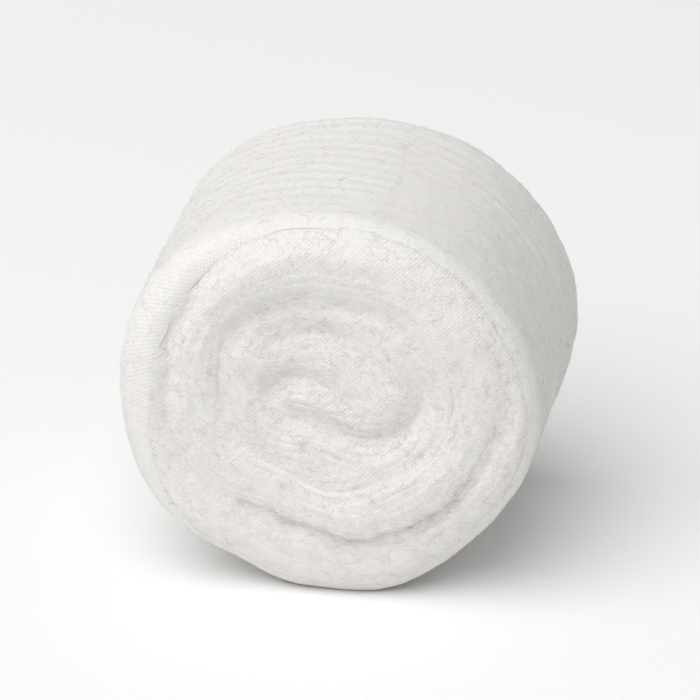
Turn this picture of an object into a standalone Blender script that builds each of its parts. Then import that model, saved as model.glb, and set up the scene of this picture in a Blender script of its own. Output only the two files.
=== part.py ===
"""A small roll of stretch gauze bandage, wound on itself and lying on its side.

The roll's axis runs along Y. The end with the deep creases looks along -Y, with +X to its right,
and the roll rests on a small flat spot at Z = 0. Lengths are metres and angles are degrees,
counter-clockwise from +X as seen from the -Y side. A "share" is a distance from the axis as a
share of the outline's radius there: 0 on the axis, 1 on the roll's side.
"""
import bmesh
import bpy
import numpy as np

# Driving sizes
BANDAGE_WIDTH = 0.0254      # the strip's width, so the roll's length along Y
ROLL_WIDTH = 0.0325         # across a wound end, along X
ROLL_HEIGHT = 0.0315        # across a wound end, along Z, before it sags
SAG = 0.0006                # how far the bottom is pressed flat
LAP_THICKNESS = 0.0005      # one lap of gauze, which is the step at the loose end
EDGE_DEPTH = 0.0030         # how far the ends round over at the roll's side
EDGE_SHARE = 0.20           # the outer part of the radius in which they do so
TAIL_ANGLE = 74.3           # where the outer lap stops: on top, right of the middle
TAIL_HALF_STEP = 1.2        # half the angle over which the step at the loose end drops
LUMP = 0.00022              # unevenness of the outline
DENT_DEPTH = 0.00065        # of the dent at the lower left of the front end
DENT_ANGLE = 242
DENT_SPREAD = 17

# Ribs of the knit that run round the roll's side
RIBS = 12
RIB_HEIGHT = 0.00022
RIB_WANDER = 0.00022

# Creases on the ends
CREASE_REACH = 0.0024       # from a crease to the top of the puffy lap beside it
FOLD_REACH = 0.0026
CORE_RECESS = 0.0004
CORE_RECESS_SHARE = 0.50
REAR_CALM = 0.55            # the rear end's creases are shallower than the front's

# The mesh: points round the roll, and where its rings lie between one crease and the next
ANGLE_STEPS = 96
CORE_RINGS = ANGLE_STEPS // 8     # a square grid this many rings deep has that many points round it
RIM_TO_OUTER_CREASE = (0.0, 0.12, 0.40, 0.74, 1.0)
OUTER_TO_INNER_CREASE = (0.16, 0.38, 0.62, 0.84, 1.0)

# The spiral crease, one turn and then the next: angle, share, depth in millimetres
OUTER_CREASE = (
    # angle, share, depth
    (3, 0.82, 1.4),
    (14, 0.88, 1.0),
    (30, 0.91, 0.4),
    (50, 0.93, 0.1),
    (70, 0.94, 0.4),
    (87, 0.945, 0.8),
    (112, 0.93, 1.0),
    (123, 0.885, 1.0),
    (136, 0.825, 1.0),
    (150, 0.79, 0.9),
    (173, 0.78, 0.8),
    (192, 0.76, 0.6),
    (213, 0.7, 0.5),
    (234, 0.66, 1.0),
    (254, 0.635, 1.4),
    (268, 0.65, 1.6),
    (289, 0.69, 1.8),
    (307, 0.74, 1.8),
    (324, 0.77, 1.8),
    (340, 0.78, 1.7),
    (350, 0.795, 1.6),
)
INNER_CREASE = (
    # angle, share, depth
    (12, 0.6, 0.1),
    (35, 0.61, 0.3),
    (52, 0.6, 0.6),
    (63, 0.595, 0.9),
    (77, 0.58, 1.1),
    (91, 0.58, 1.3),
    (106, 0.595, 1.4),
    (121, 0.59, 1.4),
    (134, 0.575, 1.3),
    (148, 0.555, 1.2),
    (163, 0.51, 1.1),
    (187, 0.47, 1.0),
    (203, 0.445, 0.7),
    (213, 0.41, 0.5),
    (245, 0.38, 0.3),
    (285, 0.4, 0.3),
    (320, 0.46, 0.3),
    (345, 0.54, 0.2),
)

# Folds across the core, where the strip's start is tucked in: x and z in millimetres
S_FOLD = (
    # x, z, depth
    (7.9, 2.1, 0.0),
    (7.3, 0.1, 0.7),
    (5.9, -1.2, 0.9),
    (4.1, -2.0, 0.9),
    (2.1, -2.0, 0.9),
    (-1.2, -0.6, 0.7),
    (-3.1, -1.0, 0.7),
    (-4.5, 0.6, 0.8),
    (-3.9, 2.2, 1.1),
    (-2.4, 2.8, 1.0),
    (-0.5, 2.5, 0.6),
    (1.2, 1.5, 0.0),
)
UPPER_FOLD = (
    # x, z, depth
    (-5.9, 3.8, 0.0),
    (-3.6, 6.0, 0.5),
    (-0.4, 6.7, 0.8),
    (1.8, 5.9, 0.7),
    (3.6, 4.2, 0.0),
)

# Soft rises and hollows of the ends: angle, share, spread and rise in millimetres
SWELLS = (
    # angle, share, spread, rise
    (110, 0.44, 3.6, -0.5),
    (285, 0.56, 3.0, 0.5),
    (330, 0.62, 2.8, 0.6),
    (120, 0.77, 3.0, 0.4),
    (225, 0.88, 3.0, 0.3),
    (35, 0.75, 3.5, 0.3),
    (150, 0.14, 2.0, 0.4),
)

MILLIMETRE = 0.001
MEAN_RADIUS = (ROLL_WIDTH + ROLL_HEIGHT) / 4
AXIS_HEIGHT = ROLL_HEIGHT / 2 - SAG
MERGE_DISTANCE = 0.000001

GAUZE_COLOR = (0.90, 0.895, 0.87, 1.0)
GAUZE_ROUGHNESS = 0.95


def clear_scene():
    for item in list(bpy.data.objects):
        bpy.data.objects.remove(item, do_unlink=True)


def gauze_material():
    material = bpy.data.materials.new("gauze")
    material.use_nodes = True
    shader = material.node_tree.nodes["Principled BSDF"]
    shader.inputs["Base Color"].default_value = GAUZE_COLOR
    shader.inputs["Roughness"].default_value = GAUZE_ROUGHNESS
    shader.inputs["Metallic"].default_value = 0.0
    return material


def mesh_angle(nominal):
    """Even angles, but for the two beside the loose end, which close in on its step."""
    step = 360 / ANGLE_STEPS
    before = np.floor(TAIL_ANGLE / step) * step
    even = (0, before - step, before, before + step, before + 2 * step, 360)
    real = (0, before - step, TAIL_ANGLE - TAIL_HALF_STEP, TAIL_ANGLE + TAIL_HALF_STEP,
            before + 2 * step, 360)
    return np.interp(nominal, even, real)


def outline(angle, share):
    """Distance from the axis at a share: a lumpy, dented oval that loses one lap in a turn.

    The winding runs outwards clockwise and ends at the loose end, where the outline steps down.
    The step fades towards the axis.
    """
    a = np.radians(angle)
    oval = 1 / np.hypot(2 * np.cos(a) / ROLL_WIDTH, 2 * np.sin(a) / ROLL_HEIGHT)
    lumps = LUMP * (np.sin(3 * a + 0.4) + 0.7 * np.sin(5 * a + 2.1))
    dent = DENT_DEPTH * np.exp(-((angle % 360 - DENT_ANGLE) / DENT_SPREAD) ** 2)
    turn = ((angle - TAIL_ANGLE) % 360) / 360
    return share * (oval + lumps - dent) + share ** 4 * LAP_THICKNESS * (0.5 - turn)


def crease_at(rows, angle):
    """A crease's share and depth at an angle, read round the turn from its rows."""
    table = np.array(rows, float)
    share = np.interp(angle, table[:, 0], table[:, 1], period=360)
    depth = np.interp(angle, table[:, 0], table[:, 2], period=360) * MILLIMETRE
    return share, depth


def pillow_groove(distance, reach):
    """1 on a crease's line and 0 at its reach, so two round laps that meet in a valley."""
    return (1 - np.clip(np.abs(distance) / reach, 0, 1)) ** 2


def soft_trough(distance, reach):
    """1 on a fold's line and 0 at its reach, rounded at its bottom."""
    return (1 - np.clip(distance / reach, 0, 1) ** 2) ** 2


def fold_depth(rows, x, z):
    """Depth of a fold at points of an end: the deepest of its pieces' troughs."""
    table = np.array(rows) * MILLIMETRE
    start, run = table[:-1, :2], np.diff(table[:, :2], axis=0)
    offset = np.stack([x, z], -1)[..., None, :] - start
    along = np.clip((offset * run).sum(-1) / (run * run).sum(-1), 0, 1)
    distance = np.linalg.norm(offset - along[..., None] * run, axis=-1)
    depth = table[:-1, 2] + along * np.diff(table[:, 2])
    return (depth * soft_trough(distance, FOLD_REACH)).max(-1)


def end_depth(angle, share, calm):
    """How far an end's surface lies inside its plane; a swell may rise above the plane."""
    radius = outline(angle, share)
    x, z = radius * np.cos(np.radians(angle)), radius * np.sin(np.radians(angle))
    rim = np.clip((share - (1 - EDGE_SHARE)) / EDGE_SHARE, 0, 1)
    depth = EDGE_DEPTH * (1 - np.sqrt(1 - rim ** 2))
    for rows in (OUTER_CREASE, INNER_CREASE):
        crease_share, crease_depth = crease_at(rows, angle)
        groove = pillow_groove((share - crease_share) * MEAN_RADIUS, CREASE_REACH)
        depth = depth + calm * crease_depth * groove
    depth = depth + calm * np.maximum(fold_depth(S_FOLD, x, z), fold_depth(UPPER_FOLD, x, z))
    depth = depth + CORE_RECESS * np.exp(-(share / CORE_RECESS_SHARE) ** 2)
    for swell_angle, swell_share, spread, rise in SWELLS:
        a = np.radians(swell_angle)
        middle = swell_share * MEAN_RADIUS
        apart = np.hypot(x - middle * np.cos(a), z - middle * np.sin(a))
        swell = np.exp(-(apart / (spread * MILLIMETRE)) ** 2)
        depth = depth - calm * rise * MILLIMETRE * swell
    return depth


def end_grids(places, facing):
    """An end face's grids of points, from each grid's angles and shares.

    facing is -1 for the front end and +1 for the rear one. The end's highest point lies at half
    the bandage's width from the middle.
    """
    calm = 1.0 if facing < 0 else REAR_CALM
    depths = [end_depth(angle, share, calm) for angle, share in places]
    highest = min(depth.min() for depth in depths)
    grids = []
    for (angle, share), depth in zip(places, depths):
        y = facing * (BANDAGE_WIDTH / 2 - (depth - highest))
        grids.append(roll_points(outline(angle, share), angle, y))
    return grids


def roll_points(radius, angle, y):
    """Points from radius, angle and y, pressed flat where the roll rests."""
    a = np.radians(angle)
    z = np.maximum(AXIS_HEIGHT + radius * np.sin(a), 0)
    return np.stack([radius * np.cos(a), y, z], -1)


def side_points(front_y, rear_y, angle):
    """The side's rows from the front rim to the rear one, high on a rib and low beside it."""
    row = np.arange(2 * RIBS + 1)[:, None]
    along = row / (2 * RIBS)
    a = np.radians(angle)
    inside = np.sin(np.pi * along)
    y = front_y + (rear_y - front_y) * along + RIB_WANDER * inside * np.sin(3 * a + 0.7 * row)
    uneven = 0.75 + 0.25 * np.sin(1.9 * row + 2 * a)
    radius = outline(angle, 1.0) + RIB_HEIGHT * (row % 2) * uneven
    return roll_points(radius, np.broadcast_to(angle, radius.shape), y)


def grid_faces(rows, columns, start):
    """Quads of a grid of rows by columns of points, numbered row by row from start."""
    corner = start + np.arange(rows - 1)[:, None] * columns + np.arange(columns - 1)[None, :]
    quads = np.stack([corner, corner + 1, corner + columns + 1, corner + columns], -1)
    return quads.reshape(-1, 4)


def ring_shares(angle):
    """Shares of the rings from the rim over the outer crease to the inner one."""
    outer, _ = crease_at(OUTER_CREASE, angle)
    inner, _ = crease_at(INNER_CREASE, angle)
    rim_part = [1 - step * (1 - outer) for step in RIM_TO_OUTER_CREASE]
    inner_part = [outer - step * (outer - inner) for step in OUTER_TO_INNER_CREASE]
    return np.array(rim_part + inner_part)


def core_grid():
    """A square grid laid over the core: each point's ring number and even angle."""
    count = np.arange(-CORE_RINGS, CORE_RINGS + 1)
    across, up = (values.astype(float) for values in np.meshgrid(count, count))
    ring = np.maximum(np.abs(across), np.abs(up))
    wide = np.abs(across) >= np.abs(up)
    by_x = 45 * up / np.where(across == 0, 1, across) + np.where(across < 0, 180, 0)
    by_z = 90 - 45 * across / np.where(up == 0, 1, up) + np.where(up < 0, 180, 0)
    return ring, np.where(wide, by_x, by_z) % 360


def roll_mesh():
    """The closed skin of the roll: two ends, each a ringed band round a gridded core, and the side."""
    angle = mesh_angle(np.linspace(0, 360, ANGLE_STEPS + 1))
    shares = ring_shares(angle)
    core_ring, core_even = core_grid()
    core_angle = mesh_angle(core_even)
    core_share = core_ring / CORE_RINGS * crease_at(INNER_CREASE, core_angle)[0]
    places = [(np.broadcast_to(angle, shares.shape), shares), (core_angle, core_share)]
    front = end_grids(places, -1)
    rear = end_grids(places, 1)
    rim_front_y, rim_rear_y = front[0][0, :, 1], rear[0][0, :, 1]
    grids = front + rear + [side_points(rim_front_y, rim_rear_y, angle)]
    faces, start = [], 0
    for grid in grids:
        rows, columns = grid.shape[:2]
        faces.append(grid_faces(rows, columns, start))
        start += rows * columns
    points = np.concatenate([grid.reshape(-1, 3) for grid in grids])
    mesh = bpy.data.meshes.new("gauze_roll")
    mesh.from_pydata(points.tolist(), [], np.concatenate(faces).tolist())
    return mesh


def close_skin(mesh):
    """Joins the grids along their shared edges, turns every face outwards and splits each quad
    along its shorter diagonal, which follows the folds."""
    skin = bmesh.new()
    skin.from_mesh(mesh)
    bmesh.ops.remove_doubles(skin, verts=skin.verts, dist=MERGE_DISTANCE)
    bmesh.ops.recalc_face_normals(skin, faces=skin.faces)
    bmesh.ops.triangulate(skin, faces=skin.faces, quad_method="SHORT_EDGE")
    skin.to_mesh(mesh)
    skin.free()
    mesh.shade_smooth()


def build_roll():
    mesh = roll_mesh()
    close_skin(mesh)
    mesh.materials.append(gauze_material())
    roll = bpy.data.objects.new("gauze_roll", mesh)
    bpy.context.scene.collection.objects.link(roll)


clear_scene()
build_roll()
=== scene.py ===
"""A small roll of white stretch gauze bandage, dressed round its solid.

The cloth is two pieces. wound_turns is the whole winding as one body: its two puffy, creased ends
carry the fine edges of the laps, which run inwards in one spiral. outer_lap is the strip's last
turn, a thin sheet that lies round the body, curls over both rims and stops at the loose end. Loops
and stray fibres stand off both. Lengths are metres and angles are degrees, counter-clockwise from
+X as seen from the end that faces -Y. A "share" is a distance from the roll's axis as a share of
the outline's radius there.
"""
import math

import bmesh
import bpy
import numpy as np
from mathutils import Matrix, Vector


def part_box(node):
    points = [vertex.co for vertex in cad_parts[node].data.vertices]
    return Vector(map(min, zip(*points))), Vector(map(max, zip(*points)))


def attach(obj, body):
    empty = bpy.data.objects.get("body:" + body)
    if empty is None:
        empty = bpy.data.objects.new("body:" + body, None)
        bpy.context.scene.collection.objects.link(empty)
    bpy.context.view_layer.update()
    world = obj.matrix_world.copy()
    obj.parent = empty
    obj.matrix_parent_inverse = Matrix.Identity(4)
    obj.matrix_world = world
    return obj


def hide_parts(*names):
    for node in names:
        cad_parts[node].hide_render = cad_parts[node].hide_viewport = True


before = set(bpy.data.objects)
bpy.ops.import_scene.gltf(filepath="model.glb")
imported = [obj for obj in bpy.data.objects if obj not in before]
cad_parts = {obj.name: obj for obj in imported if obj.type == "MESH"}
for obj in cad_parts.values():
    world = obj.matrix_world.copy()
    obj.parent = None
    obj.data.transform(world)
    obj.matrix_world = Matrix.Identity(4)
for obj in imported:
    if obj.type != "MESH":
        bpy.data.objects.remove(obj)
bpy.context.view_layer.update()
LOW, HIGH = (np.array(corner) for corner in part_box("gauze_roll"))

MILLIMETRE = 0.001
FRONT, REAR = -1, 1         # which way an end faces along Y

# Driving sizes, as the solid has them
BANDAGE_WIDTH = float(HIGH[1] - LOW[1])
ROLL_WIDTH = 0.0325
ROLL_HEIGHT = 0.0315
TAIL_ANGLE = 74.3           # where the loose end lies: on top, right of the middle
EDGE_DEPTH = 0.0030         # how far the ends round over at the roll's side
EDGE_SHARE = 0.20           # the outer part of the radius in which they do so
LUMP = 0.00022
DENT_DEPTH = 0.00065        # of the dent at the lower left of the front end
DENT_ANGLE = 242
DENT_SPREAD = 17
MEAN_RADIUS = (ROLL_WIDTH + ROLL_HEIGHT) / 4

# How it rests
SAG = 0.0003                # half the solid's, so that the front rim stays round
SAG_BLUNT = 0.00025         # over which the flat's edges round off
LET_DOWN = 0.00004          # so that the rounded flat still touches the surface
AXIS_HEIGHT = ROLL_HEIGHT / 2 - SAG - LET_DOWN
SETTLE_HEIGHT = 0.005       # below this height the roll gives way to the flat

# The strip and its winding
LAP_STEP = 0.00026          # the outline's loss over one turn
HALF_TURN = 0.5             # the turn that has the plain outline, which the body keeps
LAP_PITCH = 0.00066         # between laps that wrap the folded core
RIM_LAPS = 4.5              # from the rim to the outer crease
MIDDLE_LAPS = 7.0           # from the outer crease to the inner one
CORE_LAPS = 9.0             # from the inner crease to the axis

# Creases on the ends
CREASE_REACH = 0.0017       # from a crease to the backs of the laps beside it, where it's 0.6 mm deep
STEP_REACH = 0.0070         # over which the ground beside a stepped crease rises again
CREASE_BLUNT = 0.00035      # how wide the bottom of a crease is rounded
FOLD_REACH = 0.0017
OUTER_WANDER = 0.00042      # how far the outer crease wanders off its line
INNER_WANDER = 0.00022
WANDER_SIZE = 0.0026        # of the swings in their lines
SMALL_WANDER_SIZE = 0.0009
SMOOTH_ANGLE = 7.0          # the tables round the turn are averaged this far to either side
SMOOTH_FOLD = 0.0012        # and the folds' lines this far
SMOOTH_POINTS = 5
FOLD_POINTS = 120
CORE_RECESS = 0.0004
CORE_RECESS_SHARE = 0.50
CALM = {FRONT: 1.0, REAR: 0.55}     # the part of the creases' depth that each end has

OUTER_CREASE = (
    # angle, share, depth in millimetres, kept: the part of the depth that the ground beyond keeps
    (3, 0.815, 0.85, 0.55),
    (14, 0.88, 0.6, 0.4),
    (30, 0.91, 0.3, 0.1),
    (50, 0.93, 0.05, 0),
    (70, 0.94, 0.2, 0),
    (87, 0.945, 0.4, 0),
    (100, 0.95, 0.5, 0),
    (112, 0.93, 0.6, 0),
    (123, 0.885, 0.7, 0),
    (136, 0.825, 0.7, 0),
    (150, 0.79, 0.65, 0),
    (162, 0.77, 0.6, 0),
    (173, 0.755, 0.5, 0),
    (192, 0.735, 0.35, 0),
    (213, 0.7, 0.2, 0),
    (234, 0.64, 0.28, 0.4),
    (254, 0.61, 0.4, 0.6),
    (268, 0.62, 0.48, 0.7),
    (289, 0.66, 0.6, 0.75),
    (307, 0.72, 0.62, 0.75),
    (324, 0.75, 0.68, 0.75),
    (340, 0.765, 0.75, 0.7),
    (350, 0.785, 0.85, 0.6),
)
INNER_CREASE = (
    # angle, share, depth in millimetres, kept: negative where the ground inside keeps it
    (12, 0.6, 0.0, -0.25),
    (35, 0.61, 0.1, -0.25),
    (52, 0.6, 0.41, -0.25),
    (63, 0.595, 0.47, -0.25),
    (77, 0.58, 0.54, -0.25),
    (91, 0.58, 0.61, -0.25),
    (106, 0.595, 0.68, -0.25),
    (121, 0.59, 0.74, -0.25),
    (134, 0.575, 0.68, -0.25),
    (148, 0.555, 0.68, -0.25),
    (163, 0.51, 0.68, -0.25),
    (171, 0.5, 0.68, -0.25),
    (187, 0.47, 0.61, -0.25),
    (203, 0.445, 0.54, -0.25),
    (213, 0.41, 0.41, -0.25),
    (245, 0.38, 0.14, -0.25),
    (285, 0.4, 0.2, -0.25),
    (320, 0.46, 0.2, -0.25),
    (345, 0.54, 0.1, -0.25),
)
S_FOLD = (
    # x, z, depth in millimetres
    (7.3, 3.0, 0.25),
    (7.9, 1.7, 0.44),
    (7.3, 0.1, 0.62),
    (5.9, -1.2, 0.62),
    (4.1, -2.0, 0.62),
    (2.1, -2.0, 0.62),
    (0.7, -1.3, 0.56),
    (-1.2, -0.6, 0.5),
    (-3.1, -1.0, 0.38),
    (-4.5, 0.6, 0.31),
    (-3.9, 2.2, 0.75),
    (-2.4, 2.8, 0.75),
    (-0.5, 2.5, 0.38),
    (1.2, 1.5, 0.25),
    (2.4, 0.2, 0.12),
)
UPPER_FOLD = (
    # x, z, depth in millimetres
    (-5.9, 3.8, 0.1),
    (-3.6, 6.0, 0.3),
    (-0.4, 6.9, 0.7),
    (1.8, 6.1, 0.5),
    (3.6, 4.2, 0.1),
)
SWELLS = (
    # angle, share, spread and rise in millimetres
    (110, 0.44, 3.6, -0.3),
    (285, 0.56, 3.0, 0.5),
    (325, 0.60, 2.8, 0.6),
    (120, 0.77, 3.0, 0.4),
    (225, 0.88, 3.0, 0.3),
    (315, 0.95, 4.0, -0.5),
    (35, 0.75, 3.5, 0.3),
    (143, 0.43, 1.3, 0.35),
    (155, 0.22, 2.2, -0.2),
    (10, 0.27, 2.2, 0.25),
)

# Relief of the laps and the fluff on the ends
LAP_STAND = 0.00006         # how far a lap may stand above or below its mean height
LAP_STAND_SIZE = 0.0034     # the length of strip over which that changes
CLOSED_VALLEY = 0.00002     # depth of a valley between laps where it has closed up
OPEN_VALLEY = 0.00006       # what an open one adds to that
OPEN_SIZE = 0.0055          # the length of strip over which valleys open and close
NEXT_LAP = 0.075            # how far apart neighbouring laps lie in the clouds that vary them
FOLDED_SHARE = 0.40         # inside this share the laps begin to follow the folded start
FOLDED_FADE = 0.14
FOLDED_NUMBER = 40          # of the first lap there, well apart from the spiral's numbers
OUTER_TUFTS = 0.0013        # how far tufts spread from the outer crease
INNER_TUFTS = 0.0011        # and from a line that lies just outside the inner one
INNER_TUFTS_OUT = 0.08      # that much outside it, as a share
SOFT_LUMP = (0.0024, 0.00003)       # each of these is a size and a height
TUFT = (0.0010, 0.000008)
SMALL_TUFT = (0.00040, 0.000012)

# Where the ends lie bare of the outer lap, and where they are tucked under it, in shares
BARE_MARGIN = 0.005
BARE_FADE = 0.045
TUCK_MARGIN = 0.045
TUCK_FADE = 0.055
BODY_INSET = 0.00026        # of the body below the outer lap's face

# The body's mesh
ANGLE_STEPS = 480
CORE_RINGS = ANGLE_STEPS // 8     # a square grid this many rings deep has that many points round it
BAND_ROWS = 32                    # rings in each band between creases
BUNCHED = 0.6                     # how much closer rings lie beside a crease: 0 is even
SIDE_ROWS = 8
MERGE_REACH = 0.0000005

# The outer lap
LAP_TURNS = 1.04            # its last part lies hidden under the loose end
LAP_LENGTH = math.pi * (ROLL_WIDTH + ROLL_HEIGHT) / 2     # of one turn
LAP_THICKNESS = 0.00034
THIN_PART = 0.12            # the part of the thickness that is left at its edges
TAIL_PART = 0.3             # and towards the loose end
EDGE_ROUND = 0.00032        # over which its edges round off
EDGE_FADE = 0.0020          # over which they thin out
EDGE_SUNK = 0.00004         # how far they sink into the body
TAIL_ROUND = 0.0005         # over which the loose end rounds off
TAIL_FADE = 0.0045          # over which it thins out
TAIL_DROP = 0.0065          # over which it comes down to the lap beside it
TAIL_BRINK = 0.0010         # over which its brink sinks into that lap
TAIL_SUNK = 0.00003         # how far the brink lies below the lap beside it
TAIL_STEP = 0.00006         # how far the loose end stands above that lap just behind the brink
TAIL_SLANT = 0.0004         # how far either corner is out of square
TAIL_WOBBLE = 0.00030       # how far its line wanders
TAIL_WOBBLE_SIZE = 0.004
TAIL_STRAIGHTENS = 0.006    # over which the rows along the strip turn straight again
UNDER_TAIL = 0.00030        # how far the strip dips where it runs in under the loose end
UNDER_FROM = 0.004          # turns past the loose end's line where it begins to dip
UNDER_FADE = 0.012          # turns over which it does so
LAP_CURL = 50.0             # degrees by which its edges curl over the rims
CURL_WAVER = 2.5            # degrees by which that wavers
CURL_WAVER_SIZE = 0.0016
REAR_CURL_WAVER = 5.0       # what a longer wave adds to that at the rear
REAR_CURL_SIZE = 0.007
REAR_LIFTED = 0.5           # the most that the rear edge is lifted
REAR_LIFTED_SIZE = 0.012
FRONT_EDGE = (
    # angle, curl in degrees, lifted: 0 where the edge lies close and 1 where it stands off
    (0, 52, 0.0),
    (50, 48, 0.02),
    (70, 44, 0.08),
    (87, 43, 0.12),
    (100, 41, 0.14),
    (112, 49, 0.14),
    (123, 64, 0.12),
    (136, 81, 0.1),
    (150, 86, 0.08),
    (173, 86, 0.04),
    (195, 74, 0.0),
    (220, 58, 0.0),
    (240, 52, 0.0),
)
LAP_HALF_WIDTH = BANDAGE_WIDTH / 2 - EDGE_DEPTH + EDGE_SHARE * MEAN_RADIUS * math.radians(LAP_CURL)
LAP_STRAIGHT = (BANDAGE_WIDTH / 2 - EDGE_DEPTH) / LAP_HALF_WIDTH    # the part between the rims

# The knit on the outer lap
RIB_PITCH = 0.00165
RIB_HEIGHT = 0.00007
RIB_PATCH = 0.009           # the size of the patches with stronger and weaker ribs
WEAK_RIB = 0.25             # the part of its height that is left of a rib at its weakest
RIB_SWAY = 0.0007           # how far the ribs sway sideways
RIB_SWAY_SIZE = 0.012
RIB_WAVER = 0.0002
RIB_WAVER_SIZE = 0.004
CRIMP_SIZE = 0.0007
CRIMP_HEIGHT = 0.00002
THREAD_PITCH = 0.00056
THREAD_HEIGHT = 0.000014
LAP_LUMP = (0.0062, 0.00012)        # each of these is a size and a height
SMALL_LUMP = (0.0018, 0.00005)
LUMPS_FROM = 0.0015         # from either end of the turn to where the lumps begin
LUMPS_FADE = 0.007
END_KNIT = 0.25             # the part of the knit that shows at either end of the turn
END_KNIT_FADE = 0.0025
EDGE_KNIT = 0.15            # how far the knit's eased rise has come at either edge
EDGE_KNIT_FADE = 0.0022

# The outer lap's mesh: rows along the strip, and columns across its outer and its inner face
LAP_ROWS = 560
END_ROWS = (0, 0.00004, 0.00010)            # from the loose end, before the even rows
FIRST_EVEN_ROW = 0.00018
LAP_COLUMNS = 128
EDGE_COLUMNS = (0, 0.00005, 0.00015)        # from either edge, before the even columns
FIRST_EVEN_COLUMN = 0.00032
BURIED_COLUMNS = (LAP_STRAIGHT, 0.83, 0.88, 0.93, 0.97)

# Loops and stray fibres
FIBRE_POINTS = 5
FIBRE_RADIUS = 0.000010
FIBRE_SCATTER = 0.75        # of a fibre's direction round the strip's, in radians
STRAY_PART = 0.25           # of the fibres that are stray ends, and not loops
FOOT_DEPTH = 0.00004        # of a fibre's feet in the cloth
FIBRE_LENGTHS = (0.4, 1.5)  # the least and most, as parts of the length that is asked for
FIBRE_HEIGHTS = (0.3, 1.3)
FIBRE_GIRTHS = (0.7, 1.3)
FIBRE_SWERVE = 0.3          # the most, as a part of the fibre's length
FIBRE_TIP = 0.45            # its thickness at both ends, as a part of that in the middle
COVERED_ROWS = 8            # of an end, from the rim, which lie under the outer lap
CREASE_ROWS = slice(BAND_ROWS - 5, BAND_ROWS + 6)
CREASE_STEPS = slice(int(ANGLE_STEPS * 228 / 360), ANGLE_STEPS)     # the low part of the outer crease
ON_FRONT_BAND, ON_FRONT_CORE = 4200, 2000
ON_REAR_BAND, ON_REAR_CORE = 3000, 1500
ON_CREASE, ON_SIDE = 420, 6000

# The weave in the finish
WARP_PITCH = 0.00040
WEFT_PITCH = 0.00033
WARM_TINT = (1.0, 0.974, 0.932)
PALE_TINT = (1.02, 0.999, 0.965)

FLOOR_WIDTH = 6.0


def ease(value):
    """0 below 0 and 1 above 1, with a smooth step between."""
    t = np.clip(value, 0, 1)
    return t * t * (3 - 2 * t)


def rising(low, part):
    """A straight rise from low to 1 as part goes from 0 to 1."""
    return low + (1 - low) * part


def quarter_round(distance, radius):
    """The height of a quarter circle: 0 where distance is 0, and 1 from radius on."""
    return np.sqrt(1 - (1 - np.clip(distance / radius, 0, 1)) ** 2)


def cloud(seed, size, *places):
    """Smooth random values between -1 and 1 over one or two measures.

    Seeded values at the corners of cells `size` across are blended with an eased weight.
    """
    values = np.random.default_rng(seed).uniform(-1, 1, 8192)
    scaled = np.broadcast_arrays(*(np.asarray(place, float) / size for place in places))
    cells = [np.floor(place).astype(np.int64) for place in scaled]
    weights = [ease(place - cell) for place, cell in zip(scaled, cells)]
    strides = (73856093, 19349663)
    total = 0
    for corner in range(2 ** len(cells)):
        key, weight = 0, 1
        for axis, (cell, blend) in enumerate(zip(cells, weights)):
            far = corner >> axis & 1
            key = key ^ ((cell + far) * strides[axis])
            weight = weight * (blend if far else 1 - blend)
        total = total + weight * values[key % len(values)]
    return total


# ---------------------------------------------------------------- the roll's form


def outline(angle, share, turn):
    """Distance from the axis at a share: a lumpy oval with a dent at its lower left.

    It loses one lap's step over a turn.
    """
    a = np.radians(angle)
    oval = 1 / np.hypot(2 * np.cos(a) / ROLL_WIDTH, 2 * np.sin(a) / ROLL_HEIGHT)
    lumps = LUMP * (np.sin(3 * a + 0.4) + 0.7 * np.sin(5 * a + 2.1))
    dent = DENT_DEPTH * np.exp(-((angle % 360 - DENT_ANGLE) / DENT_SPREAD) ** 2)
    return share * (oval + lumps - dent) + share ** 4 * LAP_STEP * (HALF_TURN - turn)


def turn_at(angle):
    """Turns of winding from the loose end, between 0 and 1."""
    return ((angle - TAIL_ANGLE) % 360) / 360


def smoothed(rows, angle):
    """The columns of a table round the turn, at an angle, averaged over a window of angles."""
    angles, *columns = np.array(rows, float).T
    window = np.linspace(-SMOOTH_ANGLE, SMOOTH_ANGLE, SMOOTH_POINTS)
    return [np.mean([np.interp(angle + w, angles, column, period=360) for w in window], 0)
            for column in columns]


def crease_at(rows, angle):
    """A crease's share, depth in metres and kept part at an angle."""
    share, depth, kept = smoothed(rows, angle)
    return share, depth * MILLIMETRE, kept


def lap_edge_at(facing, angle, run):
    """How far the outer lap curls over a rim, in degrees, and how lifted its edge is, from 0 to 1.

    At the front both come from a table, and at the rear they wander along the strip.
    """
    if facing == FRONT:
        return smoothed(FRONT_EDGE, angle)
    curl = LAP_CURL + REAR_CURL_WAVER * cloud(61, REAR_CURL_SIZE, run)
    return curl, REAR_LIFTED * ease(0.5 + cloud(63, REAR_LIFTED_SIZE, run))


def ragged(share, angle, seed, amount):
    """A crease's share with its line wandering to and fro by some amount, in metres."""
    a = np.radians(angle)
    x, z = share * MEAN_RADIUS * np.cos(a), share * MEAN_RADIUS * np.sin(a)
    wander = 0.6 * cloud(seed, WANDER_SIZE, x, z) + 0.4 * cloud(seed + 1, SMALL_WANDER_SIZE, x, z)
    return share + wander * amount / MEAN_RADIUS


def pillow_groove(distance, reach):
    """1 on a crease's line and 0 at its reach: two round laps that meet in a blunted valley."""
    away = np.sqrt(distance ** 2 + CREASE_BLUNT ** 2) - CREASE_BLUNT
    return (1 - np.clip(away / reach, 0, 1)) ** 2


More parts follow.
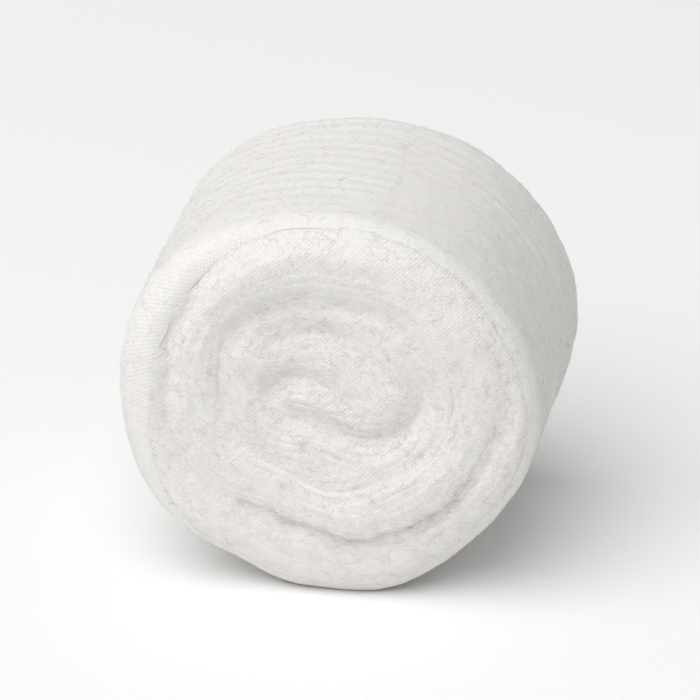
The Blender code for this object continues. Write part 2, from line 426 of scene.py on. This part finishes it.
def fold_line(rows):
    """A fold's rows as even points of a smoothed line, with their depths."""
    table = np.array(rows) * MILLIMETRE
    place = np.concatenate([[0], np.cumsum(np.hypot(*np.diff(table[:, :2], axis=0).T))])
    even = np.linspace(0, place[-1], FOLD_POINTS)
    window = np.linspace(-SMOOTH_FOLD, SMOOTH_FOLD, SMOOTH_POINTS)
    columns = [np.mean([np.interp(even + w, place, column) for w in window], 0) for column in table.T]
    return np.stack(columns, -1)


def fold_distances(rows, x, z):
    """Distances from points of an end to each point of a fold's line, and the fold's depths."""
    line = fold_line(rows)
    return np.hypot(x[..., None] - line[:, 0], z[..., None] - line[:, 1]), line[:, 2]


def broad_form(angle, share, calm, turn, creases):
    """How far an end lies inside its plane: the rounded rim, the two creases and the swells.

    The rim is a quarter oval. A crease is a groove, wider where it's deeper, mixed with a step down
    to ground that rises again slowly. A swell is a bell. creases holds each crease's share, depth
    and kept part at these angles. Also gives x and z.
    """
    radius = outline(angle, share, turn)
    x, z = radius * np.cos(np.radians(angle)), radius * np.sin(np.radians(angle))
    rim = np.clip((share - (1 - EDGE_SHARE)) / EDGE_SHARE, 0, 1)
    depth = EDGE_DEPTH * (1 - np.sqrt(1 - rim ** 2))
    for crease_share, crease_depth, kept in creases:
        away = (share - crease_share) * MEAN_RADIUS
        reach = CREASE_REACH * (0.7 + 0.5 * crease_depth / MILLIMETRE)
        beyond = np.sign(kept) * away
        below = ease(beyond / reach + 0.5) * np.exp(-np.maximum(beyond, 0) / STEP_REACH)
        form = (1 - np.abs(kept)) * pillow_groove(away, reach) + np.abs(kept) * below
        depth = depth + calm * crease_depth * form
    for swell_angle, swell_share, spread, rise in SWELLS:
        a = np.radians(swell_angle)
        middle = swell_share * MEAN_RADIUS
        apart = np.hypot(x - middle * np.cos(a), z - middle * np.sin(a))
        depth = depth - calm * rise * MILLIMETRE * np.exp(-(apart / (spread * MILLIMETRE)) ** 2)
    return depth, x, z


def core_form(share, calm, x, z):
    """How much further the core lies inside: its folds, and a shallow hollow round the axis."""
    folds = 0
    for rows in (S_FOLD, UPPER_FOLD):
        distances, depths = fold_distances(rows, x, z)
        folds = np.maximum(folds, (depths * pillow_groove(distances, FOLD_REACH)).max(-1))
    return calm * folds + CORE_RECESS * np.exp(-(share / CORE_RECESS_SHARE) ** 2)


def lap_relief(lap, angle, share, x, z, seed):
    """Height of the fine laps on an end: round backs with narrow valleys between them.

    lap counts laps inwards from the rim; less the turn, its whole numbers are the valleys, so they
    run inwards as one spiral. Towards the core the valleys follow the folded start instead. Each
    lap stands a little higher or lower than its neighbours, and patches of valley have closed up.
    """
    turn = turn_at(angle)
    spiral = lap - turn
    folded = fold_distances(S_FOLD, x, z)[0].min(-1) / LAP_PITCH
    near_core = ease((FOLDED_SHARE - share) / FOLDED_FADE)
    height = 0
    for phase, weight, first in ((spiral, 1 - near_core, 0), (folded, near_core, FOLDED_NUMBER)):
        number = np.floor(phase)
        along = (number + turn + first) * NEXT_LAP
        valley = np.abs(2 * (phase - number) - 1) ** 3
        back = LAP_STAND * cloud(seed + 1, LAP_STAND_SIZE, along) * (1 - valley)
        open_part = ease(0.5 + 0.9 * cloud(seed, OPEN_SIZE, along))
        height = height + weight * (back - (CLOSED_VALLEY + OPEN_VALLEY * open_part) * valley)
    return height


def tufts_at(share, creases):
    """How tufted an end is: 1 on calm ground, and more where a crease is deep.

    The tufts lie in the outer crease and just outside the inner one, as a bell across each. They
    begin at depths of 0.38 and 0.30 mm, and are full at 0.58 and 0.63 mm.
    """
    (outer_share, outer_depth, _), (inner_share, inner_depth, _) = creases
    in_outer = np.exp(-((share - outer_share) * MEAN_RADIUS / OUTER_TUFTS) ** 2)
    by_inner = np.exp(-((share - inner_share - INNER_TUFTS_OUT) * MEAN_RADIUS / INNER_TUFTS) ** 2)
    return (1 + 3.5 * in_outer * ease(5 * outer_depth / MILLIMETRE - 1.9)
            + 1.5 * by_inner * ease(3 * inner_depth / MILLIMETRE - 0.9))


def fluff_relief(x, z, tufts, seed):
    """Unevenness of the cottony surface, from soft lumps to small tufts that grow with tufts."""
    clouds = [height * cloud(seed + number, size, x, z)
              for number, (size, height) in enumerate((SOFT_LUMP, TUFT, SMALL_TUFT))]
    return clouds[0] + tufts * (clouds[1] + clouds[2])


def lap_cover(facing, angle, share):
    """How bare an end lies of the outer lap, and how far it's tucked under it, from 0 to 1."""
    curl, lifted = lap_edge_at(facing, angle, turn_at(angle) * LAP_LENGTH)
    lap_edge = 1 - EDGE_SHARE * (1 - np.cos(np.radians(curl)))
    bare = ease((lap_edge + BARE_MARGIN - share) / BARE_FADE)
    return bare, ease((share - lap_edge + TUCK_MARGIN * lifted) / TUCK_FADE)


def settle(x, z):
    """Height above the surface: the bottom sags nearly flat, and what is just above it gives way.

    The sag is that of a circle cut by a plane, with the cut's edges blunted, and it fades upwards.
    """
    height = z + AXIS_HEIGHT
    under = SAG - x ** 2 / (2 * MEAN_RADIUS)
    under = (under + np.hypot(under, SAG_BLUNT)) / 2
    return np.maximum(height + under * (1 - ease((height + under) / SETTLE_HEIGHT)), 0)


# ---------------------------------------------------------------- the wound body


def end_creases(angle, seed):
    """The outer and the inner crease at an angle: the share, depth and kept part of each."""
    found = []
    for rows, wander, shift in ((OUTER_CREASE, OUTER_WANDER, 0), (INNER_CREASE, INNER_WANDER, 2)):
        share, depth, kept = crease_at(rows, angle)
        found.append((ragged(share, angle, seed + shift, wander), depth, kept))
    return found


def band_grid(seed):
    """Angle, share and lap count of the rings from the rim to the inner crease.

    Rings follow the two creases and lie closer together beside them.
    """
    even = np.linspace(0, 360, ANGLE_STEPS + 1)
    t = np.linspace(0, 1, BAND_ROWS + 1)
    t = (t - BUNCHED * np.sin(2 * np.pi * t) / (2 * np.pi))[:, None]
    (outer, _, _), (inner, _, _) = end_creases(even, seed)
    share = np.concatenate([1 - t * (1 - outer), (outer - t * (outer - inner))[1:]])
    lap = np.concatenate([RIM_LAPS * t, RIM_LAPS + MIDDLE_LAPS * t[1:]])
    return np.broadcast_to(even, share.shape), share, np.broadcast_to(lap, share.shape)


def core_grid(seed):
    """Angle, share and lap count of a square grid laid over the core, inside the inner crease.

    Its squares round the middle are the rings, and their points lie at even angles.
    """
    count = np.arange(-CORE_RINGS, CORE_RINGS + 1)
    across, up = (values.astype(float) for values in np.meshgrid(count, count))
    ring = np.maximum(np.abs(across), np.abs(up))
    wide = np.abs(across) >= np.abs(up)
    by_x = 45 * up / np.where(across == 0, 1, across) + np.where(across < 0, 180, 0)
    by_z = 90 - 45 * across / np.where(up == 0, 1, up) + np.where(up < 0, 180, 0)
    angle = np.where(wide, by_x, by_z) % 360
    part = ring / CORE_RINGS
    inner = end_creases(angle, seed)[1][0]
    return angle, part * inner, RIM_LAPS + MIDDLE_LAPS + CORE_LAPS * (1 - part)


def body_end(facing, seed):
    """An end of the body as two grids of points: its ringed band and its core.

    A point's depth is the broad form and the core's, less the relief of laps and fluff where the end
    lies bare. Under the outer lap the body is inset along the rim's normal. Also gives the depth of
    the end's highest point, by which the whole end is brought level with its plane.
    """
    calm = CALM[facing]
    formed = []
    for angle, share, lap in (band_grid(seed), core_grid(seed)):
        creases = end_creases(angle, seed)
        depth, x, z = broad_form(angle, share, calm, HALF_TURN, creases)
        bare, tucked = lap_cover(facing, angle, share)
        relief = (lap_relief(lap, angle, share, x, z, seed + 10)
                  + fluff_relief(x, z, tufts_at(share, creases), seed + 20))
        formed.append((angle, share, depth + core_form(share, calm, x, z) - bare * relief, tucked))
    highest = min(depth.min() for _, _, depth, _ in formed)
    grids = []
    for angle, share, depth, tucked in formed:
        rim = np.clip((share - (1 - EDGE_SHARE)) / EDGE_SHARE, 0, 1)
        inset = BODY_INSET * tucked
        radius = outline(angle, share, HALF_TURN) - inset * rim
        a = np.radians(angle)
        x, z = radius * np.cos(a), radius * np.sin(a)
        inward = depth - highest + inset * np.sqrt(1 - rim ** 2)
        y = facing * (BANDAGE_WIDTH / 2 - inward)
        grids.append(np.stack([x, y, settle(x, z)], -1))
    return grids, highest


def grid_faces(rows, columns, start):
    """Quads of a grid of rows by columns of points, numbered row by row from start."""
    corner = start + np.arange(rows - 1)[:, None] * columns + np.arange(columns - 1)[None, :]
    quads = np.stack([corner, corner + 1, corner + columns + 1, corner + columns], -1)
    return quads.reshape(-1, 4)


def merge_grids(mesh):
    """Joins a mesh's grids along their shared edges and turns every face outwards."""
    skin = bmesh.new()
    skin.from_mesh(mesh)
    bmesh.ops.remove_doubles(skin, verts=skin.verts, dist=MERGE_REACH)
    bmesh.ops.recalc_face_normals(skin, faces=skin.faces)
    skin.to_mesh(mesh)
    skin.free()


def add_piece(name, points, faces, material, chart, merge=False):
    """A smooth mesh object at the origin from points and faces, with its UV chart in metres."""
    mesh = bpy.data.meshes.new(name)
    mesh.from_pydata(points.reshape(-1, 3).tolist(), [], faces)
    layer = mesh.uv_layers.new(name="UVMap")
    corner = np.empty(len(mesh.loops), np.int32)
    mesh.loops.foreach_get("vertex_index", corner)
    layer.data.foreach_set("uv", chart.reshape(-1, 2)[corner].astype(np.float32).ravel())
    if merge:
        merge_grids(mesh)
    mesh.shade_smooth()
    mesh.materials.append(material)
    piece = bpy.data.objects.new(name, mesh)
    bpy.context.scene.collection.objects.link(piece)
    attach(piece, "root")
    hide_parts("gauze_roll")
    return piece


def add_wound_turns(material):
    """The body: two ends and the straight side between them, as one closed skin.

    Gives each end's grids, and the depth by which it was brought level.
    """
    front, front_high = body_end(FRONT, 100)
    rear, rear_high = body_end(REAR, 200)
    along = np.linspace(0, 1, SIDE_ROWS + 1)[:, None, None]
    side = front[0][0] + (rear[0][0] - front[0][0]) * along
    grids = front + rear + [side]
    faces, start = [], 0
    for grid in grids:
        rows, columns = grid.shape[:2]
        faces.append(grid_faces(rows, columns, start))
        start += rows * columns
    points = np.concatenate([grid.reshape(-1, 3) for grid in grids])
    quads = np.concatenate(faces).tolist()
    add_piece("wound_turns", points, quads, material, points[:, [0, 2]], merge=True)
    return front, rear, front_high, rear_high


# ---------------------------------------------------------------- the outer lap


def knit_relief(y, run):
    """Height of the knit on the outer lap: soft, wavy ribs round the roll, crimps and lumps.

    The ribs and threads are cosines across the strip, shifted by a slow wander. The lumps fade
    near both ends of the turn, where the strip lies on itself.
    """
    wander = (RIB_SWAY * cloud(51, RIB_SWAY_SIZE, run, y * 0.8)
              + RIB_WAVER * cloud(54, RIB_WAVER_SIZE, run, y))
    rib = 0.5 + 0.5 * np.cos(2 * np.pi * (y + wander) / RIB_PITCH)
    strength = rising(WEAK_RIB, ease(0.5 + 0.8 * cloud(52, RIB_PATCH, run, y * 2.5)))
    crimp = cloud(55, CRIMP_SIZE, run, y * 0.45)
    thread = np.cos(2 * np.pi * (y + 0.5 * wander) / THREAD_PITCH)
    lumps = sum(height * cloud(seed, size, run, y)
                for seed, (size, height) in ((53, LAP_LUMP), (56, SMALL_LUMP)))
    from_ends = np.minimum(run, np.abs(LAP_LENGTH - run))
    lumps = lumps * ease((from_ends - LUMPS_FROM) / LUMPS_FADE)
    return RIB_HEIGHT * strength * rib ** 1.3 + CRIMP_HEIGHT * crimp + THREAD_HEIGHT * thread + lumps


def rim_place(facing, highest, angle, turn, share):
    """y of an end's broad form where the outer lap curls over its rim."""
    creases = [crease_at(rows, angle) for rows in (OUTER_CREASE, INNER_CREASE)]
    depth, _, _ = broad_form(angle, share, CALM[facing], turn, creases)
    return facing * (BANDAGE_WIDTH / 2 - (depth - highest))


def lap_offset(run, turn, across, side, lifted):
    """How far a point of the outer lap's section lies off the outline, along its normal.

    The lap thins out at its edges, which sink into the body where they aren't lifted, and towards
    the loose end, which comes down to the lap beside it. turn is counted from the loose end's
    line. Also gives how much of the knit shows on the outer face there.
    """
    inside = (1 - np.abs(across)) * LAP_HALF_WIDTH
    thin = quarter_round(inside, EDGE_ROUND)
    feather = rising(THIN_PART, np.maximum(ease(inside / EDGE_FADE), lifted))
    worn = rising(TAIL_PART, ease(run / TAIL_FADE)) * rising(THIN_PART, quarter_round(run, TAIL_ROUND))
    thickness = LAP_THICKNESS * worn * feather
    sink = EDGE_SUNK * (1 - lifted) * (1 - ease(inside / EDGE_FADE))
    under = ease((turn - 1 - UNDER_FROM) / UNDER_FADE)
    drop = ((LAP_STEP - TAIL_STEP) * (1 - ease(run / TAIL_DROP)) + UNDER_TAIL * under
            + (TAIL_STEP + TAIL_SUNK) * (1 - ease(run / TAIL_BRINK)))
    from_ends = np.minimum(run, np.abs(LAP_LENGTH - run))
    knit = (side > 0) * thin * rising(END_KNIT, ease(from_ends / END_KNIT_FADE))
    knit = knit * ease(EDGE_KNIT + inside / EDGE_KNIT_FADE)
    return (side * thin - 1) * thickness / 2 - drop - sink, knit


def lap_points(turn, across, side, high):
    """Points of the outer lap: a row for each value of turn, which runs once round its section.

    across runs from -1 at the front edge to 1 at the rear one, and side is +1 on the outer face,
    -1 on the inner one and 0 at the edges. The lap is straight across its middle and follows the
    rims beyond as quarter ovals. Its rows slant and waver at the loose end, and straighten behind
    it. high holds the depth by which each end was brought level. Also gives the run along the strip
    and across it, for the chart.
    """
    turn, across, side = turn[:, None], across[None, :], side[None, :]
    run = turn * LAP_LENGTH
    wobble = TAIL_WOBBLE * cloud(65, TAIL_WOBBLE_SIZE, across * LAP_HALF_WIDTH)
    line = (wobble + TAIL_SLANT * across) / LAP_LENGTH
    turn = turn + (1 - ease(run / TAIL_STRAIGHTENS)) * line
    angle = TAIL_ANGLE + 360 * turn
    face = np.sign(across)
    edges = [lap_edge_at(facing, angle[:, :1], run) for facing in (FRONT, REAR)]
    curl, lifted = (np.where(across < 0, at_front, at_rear) for at_front, at_rear in zip(*edges))
    curl = curl + CURL_WAVER * cloud(62, CURL_WAVER_SIZE, run, face * 0.02)
    beyond = np.clip((np.abs(across) - LAP_STRAIGHT) / (1 - LAP_STRAIGHT), 0, 1)
    lean = np.radians(90 - beyond * curl)
    share = 1 - EDGE_SHARE * (1 - np.sin(lean))
    front, rear = (rim_place(facing, highest, angle[:, :1], turn[:, :1], 1.0)
                   for facing, highest in zip((FRONT, REAR), high))
    y = front + (rear - front) * (across / LAP_STRAIGHT + 1) / 2
    y = np.where(across < -LAP_STRAIGHT, rim_place(FRONT, high[0], angle, turn, share), y)
    y = np.where(across > LAP_STRAIGHT, rim_place(REAR, high[1], angle, turn, share), y)

    offset, knit = lap_offset(run, turn - line, across, side, lifted)
    offset = offset + knit_relief(y, run) * knit
    a = np.radians(angle)
    radius = outline(angle, share, turn) + offset * np.sin(lean)
    x, z = radius * np.cos(a), radius * np.sin(a)
    points = np.stack([x, y + face * offset * np.cos(lean), settle(x, z)], -1)
    return points, np.stack(np.broadcast_arrays(run, across * LAP_HALF_WIDTH), -1)


def tube_faces(rings, count):
    """Quads of rings of points, each ring closed, and a face on the first and the last ring."""
    ring = np.arange(rings - 1)[:, None] * count
    point = np.arange(count)[None, :]
    after = (point + 1) % count
    quads = np.stack([ring + point, ring + after, ring + count + after, ring + count + point], -1)
    caps = [list(range(count))[::-1], list(range((rings - 1) * count, rings * count))]
    return quads.reshape(-1, 4).tolist() + caps


def add_outer_lap(material, high):
    """The outer lap as a closed sheet, and its outer face's points for the loops that stand on it.

    Its section runs along the outer face and back along the inner one, which has fewer columns.
    """
    turn = np.concatenate([np.array(END_ROWS) / LAP_LENGTH,
                           np.linspace(FIRST_EVEN_ROW / LAP_LENGTH, LAP_TURNS, LAP_ROWS)])
    near = np.array(EDGE_COLUMNS) / LAP_HALF_WIDTH
    first = FIRST_EVEN_COLUMN / LAP_HALF_WIDTH
    even = np.linspace(first - 1, 1 - first, LAP_COLUMNS)
    shown = np.concatenate([near - 1, even, 1 - near[::-1]])
    inner = np.array(BURIED_COLUMNS)
    buried = np.concatenate([near[1:] - 1, -inner[::-1], inner, 1 - near[:0:-1]])
    across = np.concatenate([shown, buried[::-1]])
    side = np.concatenate([np.ones(len(shown)), -np.ones(len(buried))])
    side[[0, len(shown) - 1]] = 0
    points, chart = lap_points(turn, across, side, high)
    lap = add_piece("outer_lap", points, tube_faces(len(turn), len(across)), material, chart)
    return points[:, :len(shown)]


# ---------------------------------------------------------------- loops and stray fibres


def unit(vectors):
    """Vectors brought to length 1."""
    return vectors / np.maximum(np.linalg.norm(vectors, axis=-1, keepdims=True), 1e-12)


def scattered(grid, count, outward, rng):
    """Random places on a grid of points, even by area: points, unit normals and row directions.

    outward gives a direction, for each point of the grid, that the normals keep to.
    """
    corner, along, up = grid[:-1, :-1], grid[:-1, 1:] - grid[:-1, :-1], grid[1:, :-1] - grid[:-1, :-1]
    normal = np.cross(along, up)
    area = np.linalg.norm(normal, axis=-1)
    pick = rng.choice(area.size, count, p=(area / area.sum()).ravel())
    corner, along, up, normal = (part.reshape(-1, 3)[pick] for part in (corner, along, up, normal))
    hint = np.broadcast_to(outward, grid.shape)[:-1, :-1].reshape(-1, 3)[pick]
    place = corner + along * rng.uniform(0, 1, (count, 1)) + up * rng.uniform(0, 1, (count, 1))
    normal = unit(normal * np.sign((normal * hint).sum(-1, keepdims=True)))
    return place, normal, unit(along)


def fibre_paths(where, length, height, rng):
    """Points along each fibre, and its normal at the cloth.

    A loop rises as half a sine wave and dips back in, and a stray end keeps rising. Each swerves
    sideways as a whole sine wave, and its direction scatters round that of the strip.
    """
    place, normal, line = (np.concatenate(parts) for parts in zip(*where))
    count = len(place)
    side = unit(np.cross(normal, line))
    spin = rng.normal(0, FIBRE_SCATTER, (count, 1))
    way = line * np.cos(spin) + side * np.sin(spin)
    swerve_way = side * np.cos(spin) - line * np.sin(spin)
    s = np.linspace(0, 1, FIBRE_POINTS)
    size = length * rng.uniform(*FIBRE_LENGTHS, (count, 1))
    tall = height * rng.uniform(*FIBRE_HEIGHTS, (count, 1))
    stray = rng.uniform(0, 1, (count, 1)) < STRAY_PART
    rise = tall * np.where(stray, 1.6 * s ** 1.5, np.sin(np.pi * s)) - FOOT_DEPTH * (1 - s * stray)
    swerve = size * rng.uniform(-FIBRE_SWERVE, FIBRE_SWERVE, (count, 1))
    swerve = swerve * np.sin(2 * np.pi * s + rng.uniform(0, 6, (count, 1)))
    path = (place[:, None] + way[:, None] * ((s - 0.5) * size)[..., None]
            + normal[:, None] * rise[..., None] + swerve_way[:, None] * swerve[..., None])
    return path, normal


def add_fibres(name, where, material, length, height, seed):
    """Loops and stray ends of cotton: three-sided tubes along their paths, thinner at both ends."""
    rng = np.random.default_rng(seed)
    path, normal = fibre_paths(where, length, height, rng)
    count = len(path)
    tangent = unit(np.gradient(path, axis=1))
    first = unit(np.cross(tangent, normal[:, None]))
    second = np.cross(tangent, first)
    corner = 2 * np.pi * np.arange(3) / 3
    taper = rising(FIBRE_TIP, np.sin(np.pi * np.linspace(0, 1, FIBRE_POINTS)))
    thick = FIBRE_RADIUS * rng.uniform(*FIBRE_GIRTHS, (count, 1)) * taper
    ring = (first[:, :, None] * np.cos(corner)[:, None] + second[:, :, None] * np.sin(corner)[:, None])
    points = path[:, :, None] + ring * thick[..., None, None]
    points[..., 2] = np.maximum(points[..., 2], 0)
    start = (np.arange(count) * FIBRE_POINTS * 3)[:, None, None]
    row = (np.arange(FIBRE_POINTS - 1) * 3)[None, :, None]
    near, after = np.arange(3)[None, None, :], ((np.arange(3) + 1) % 3)[None, None, :]
    quads = np.stack([start + row + near, start + row + after, start + row + 3 + after,
                      start + row + 3 + near], -1).reshape(-1, 4)
    first_cap = start[:, 0] + np.array([[2, 1, 0]])
    last_cap = start[:, 0] + 3 * (FIBRE_POINTS - 1) + np.array([[0, 1, 2]])
    faces = quads.tolist() + first_cap.tolist() + last_cap.tolist()
    add_piece(name, points, faces, material, points.reshape(-1, 3)[:, [0, 2]])


def add_loops(front, rear, lap_face, material):
    """Loops and stray fibres on both ends, in the low part of the outer crease and on the side."""
    rng = np.random.default_rng(7)
    forward, backward = np.array((0, -1.0, 0)), np.array((0, 1.0, 0))
    radial = lap_face * (1, 0, 1) - (0, 0, AXIS_HEIGHT)
    even = slice(len(EDGE_COLUMNS), -len(EDGE_COLUMNS))
    front_band = scattered(front[0][COVERED_ROWS:], ON_FRONT_BAND, forward, rng)
    front_core = scattered(front[1], ON_FRONT_CORE, forward, rng)
    crease = scattered(front[0][CREASE_ROWS, CREASE_STEPS], ON_CREASE, forward, rng)
    rear_band = scattered(rear[0][COVERED_ROWS:], ON_REAR_BAND, backward, rng)
    rear_core = scattered(rear[1], ON_REAR_CORE, backward, rng)
    side = scattered(lap_face[:, even], ON_SIDE, radial[:, even], rng)
    add_fibres("crease_loops", [crease], material, length=0.0010, height=0.00024, seed=74)
    add_fibres("front_loops", [front_band, front_core], material, length=0.0011, height=0.00012, seed=71)
    add_fibres("rear_loops", [rear_band, rear_core], material, length=0.0011, height=0.00014, seed=72)
    add_fibres("side_loops", [side], material, length=0.0012, height=0.00010, seed=73)


# ---------------------------------------------------------------- finishes


class Value:
    """A shader socket that takes part in arithmetic: each operator adds its Math node."""

    def __init__(self, finish, socket):
        self.finish, self.socket = finish, socket

    def math(self, operation, *others):
        inputs = dict(enumerate((self,) + others))
        return self.finish.add("ShaderNodeMath", {"operation": operation}, inputs).value(0)

    def __add__(self, other):
        return self.math("ADD", other)

    __radd__ = __add__

    def __mul__(self, other):
        return self.math("MULTIPLY", other)

    __rmul__ = __mul__


class Made:
    """A node of a finish, whose outputs are read by name or number."""

    def __init__(self, finish, node):
        self.finish, self.node = finish, node

    def value(self, output):
        return Value(self.finish, self.node.outputs[output])


class Finish:
    """A material's node tree, with one method that adds any node."""

    def __init__(self, name):
        self.material = bpy.data.materials.new(name)
        self.material.use_nodes = True
        self.nodes = self.material.node_tree.nodes
        self.links = self.material.node_tree.links
        self.shader = self.nodes["Principled BSDF"]

    def set_inputs(self, node, inputs):
        for key, given in inputs.items():
            if isinstance(given, Value):
                self.links.new(given.socket, node.inputs[key])
            else:
                node.inputs[key].default_value = given

    def add(self, kind, settings, inputs):
        node = self.nodes.new(kind)
        for key, setting in settings.items():
            setattr(node, key, setting)
        self.set_inputs(node, inputs)
        return Made(self, node)


def gauze_finish(name, light, depth):
    """White knitted gauze: a fine weave along the chart, fluff, and a faint warm tint in patches.

    The weave's height is the product of a sine wave along the chart and one across it, and the
    fluff's is noise. light is how bright the tint is, and depth how strongly light is scattered
    below the surface.
    """
    finish = Finish(name)
    chart = finish.add("ShaderNodeTexCoord", {}, {})
    parts = finish.add("ShaderNodeSeparateXYZ", {}, {0: chart.value("UV")})
    along, across = parts.value("X"), parts.value("Y")
    place = chart.value("Object")
    fluff = finish.add("ShaderNodeTexNoise", {}, {"Vector": place, "Scale": 2600.0, "Detail": 4.0,
                                                 "Roughness": 0.65}).value("Fac")
    patch = finish.add("ShaderNodeTexNoise", {}, {"Vector": place, "Scale": 160.0,
                                                 "Detail": 3.0}).value("Fac")
    warp = (along * (2 * math.pi / WARP_PITCH)).math("SINE")
    weft = (across * (2 * math.pi / WEFT_PITCH)).math("SINE")
    height = warp * weft * 0.30 + fluff
    bump = finish.add("ShaderNodeBump", {}, {"Height": height, "Strength": 0.55,
                                             "Distance": 0.00013}).value("Normal")
    warm, pale = ((*(light * part for part in tint), 1) for tint in (WARM_TINT, PALE_TINT))
    tint = finish.add("ShaderNodeMix", {"data_type": "RGBA"}, {0: patch, 6: warm, 7: pale}).value(2)
    finish.set_inputs(finish.shader, {
        "Base Color": tint,
        "Roughness": 0.95,
        "Normal": bump,
        "Sheen Weight": 0.15,
        "Sheen Roughness": 0.6,
        "Specular IOR Level": 0.15,
        "Subsurface Weight": depth,
        "Subsurface Radius": (1.0, 0.97, 0.92),
        "Subsurface Scale": 0.0009,
    })
    return finish.material


# ---------------------------------------------------------------- stage, light and camera


def add_stage():
    """A plain pale floor."""
    half = FLOOR_WIDTH / 2
    corners = [(-half, -half, 0), (half, -half, 0), (half, half, 0), (-half, half, 0)]
    mesh = bpy.data.meshes.new("floor")
    mesh.from_pydata(corners, [], [(0, 1, 2, 3)])
    floor_finish = Finish("floor")
    pale = {"Base Color": (0.96, 0.96, 0.96, 1), "Roughness": 0.8}
    floor_finish.set_inputs(floor_finish.shader, pale)
    mesh.materials.append(floor_finish.material)
    floor = bpy.data.objects.new("floor", mesh)
    bpy.context.scene.collection.objects.link(floor)


def add_world(strength):
    """Even white light from all round."""
    world = bpy.data.worlds.new("studio")
    world.use_nodes = True
    background = world.node_tree.nodes["Background"]
    background.inputs["Color"].default_value = (1, 1, 1, 1)
    background.inputs["Strength"].default_value = strength
    bpy.context.scene.world = world


def aim(item, target):
    """Turns a light or camera so that it looks at the target, with its top up."""
    item.rotation_euler = (Vector(target) - item.location).to_track_quat("-Z", "Y").to_euler()


def add_key_light(target, place, size, power):
    """A round soft box at a place, aimed at the target."""
    data = bpy.data.lights.new("key", "AREA")
    data.shape, data.size, data.energy = "DISK", size, power
    light = bpy.data.objects.new("key", data)
    light.location = place
    aim(light, target)
    bpy.context.scene.collection.objects.link(light)


def add_camera(target, azimuth, elevation, distance, width):
    """A camera at an azimuth and elevation, whose frame is `width` across at the target."""
    a, e = math.radians(azimuth), math.radians(elevation)
    data = bpy.data.cameras.new("camera")
    data.sensor_width = 36
    data.lens = data.sensor_width * distance / width
    data.clip_start, data.clip_end = 0.01, 20
    camera = bpy.data.objects.new("camera", data)
    back = Vector((math.sin(a) * math.cos(e), -math.cos(a) * math.cos(e), math.sin(e)))
    camera.location = Vector(target) + back * distance
    aim(camera, target)
    bpy.context.scene.collection.objects.link(camera)
    bpy.context.scene.camera = camera


# ---------------------------------------------------------------- the roll on its stage

body_gauze = gauze_finish("gauze", light=0.84, depth=0.25)
front_end, rear_end, *high = add_wound_turns(body_gauze)
lap_gauze = gauze_finish("gauze_lap", light=0.85, depth=0.0)
lap_face = add_outer_lap(lap_gauze, high)
# The fibres' tint is brighter than the cloth's: painted light, which offsets the shade on their own thin
# undersides and stands in for the light that passes through real fibres.
fibre = gauze_finish("fibre", light=0.93, depth=0.0)
add_loops(front_end, rear_end, lap_face, fibre)

MIDDLE = (0, 0, float(HIGH[2]) / 2)
add_stage()
add_world(strength=0.34)
add_key_light(MIDDLE, place=(-0.25, -0.49, 0.96), size=1.3, power=11.8)
add_camera(MIDDLE, azimuth=10, elevation=24, distance=0.45, width=0.0542)
bpy.context.scene.view_settings.view_transform = "Standard"
